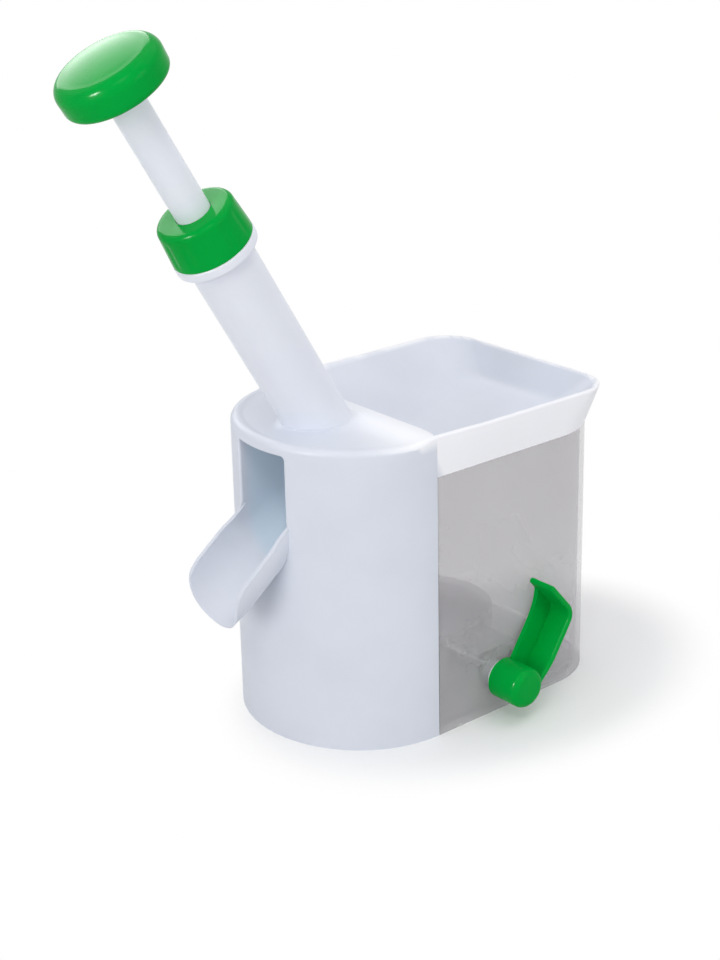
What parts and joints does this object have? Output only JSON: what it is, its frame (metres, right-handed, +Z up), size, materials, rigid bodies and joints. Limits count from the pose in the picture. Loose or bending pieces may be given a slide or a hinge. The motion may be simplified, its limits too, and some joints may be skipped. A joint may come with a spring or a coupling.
{
  "type": "cherry pitter with lever",
  "caption": "Table-top cherry pitter: slanted spring plunger over a fruit seat, flared hopper, spout, frosted pit container and a side lever that works a suction foot.",
  "frame": {"origin": "on the table, on the vertical line through the middle of the lever shaft, at the suction foot's centre", "axes": "+Z up, -Y toward the spout, +X toward the lever"},
  "size_m": [0.1184, 0.2194, 0.2816],
  "materials": {
    "white": "satin moulded plastic",
    "green": "polished moulded plastic",
    "frosted": "frosted translucent plastic",
    "nylon": "moulded",
    "grey_plastic": "moulded",
    "steel": "drawn",
    "rubber": "moulded",
    "soft_seat": "moulded"
  },
  "bodies": {
    "base": {"pit_container": "frosted", "suction_frame": "white", "suction_cup": "rubber", "frame_screws": "steel", "wall_bush": "grey_plastic"},
    "housing": {"main_housing": "white", "discharge_chute": "white", "seat_holder": "white", "cherry_seat": "soft_seat", "guide_tube": "white", "stripper_bush": "nylon", "spring_washer": "steel", "return_spring": "steel", "guide_ring": "nylon", "guide_collar": "green"},
    "plunger": {"plunger_rod": "white", "plunger_knob": "green", "spring_piston": "nylon", "pitting_pin": "steel"},
    "lever": {"suction_lever": "green", "lever_shaft": "steel", "eccentric_cam": "grey_plastic", "shaft_clip": "steel"},
    "cup_pull": {"suction_stem": "grey_plastic", "cup_plate": "steel"}
  },
  "joints": [
    {"name": "housing_lift", "type": "slide", "parent": "base", "child": "housing", "axis": [0, 0, 1], "range_m": [0, 0.13]},
    {"name": "plunger_slide", "type": "slide", "parent": "housing", "child": "plunger", "axis": [0, 0.5045, -0.8634], "range_m": [0, 0.045], "stiffness_N_per_m": 250, "springref_m": -0.03, "deforming": ["return_spring"]},
    {"name": "lever_turn", "type": "hinge", "parent": "base", "child": "lever", "pos_m": [0, 0, 0.0149], "axis": [-1, 0, 0], "range_deg": [-57, 45]},
    {"name": "cup_lift", "type": "slide", "parent": "base", "child": "cup_pull", "axis": [0, 0, 1], "range_m": [-0.0022, 0.0018], "deforming": ["suction_cup"]}
  ],
  "couplings": [
    {"joint": "cup_lift", "follows": "lever_turn", "m_per_rad": 0.00218}
  ]
}
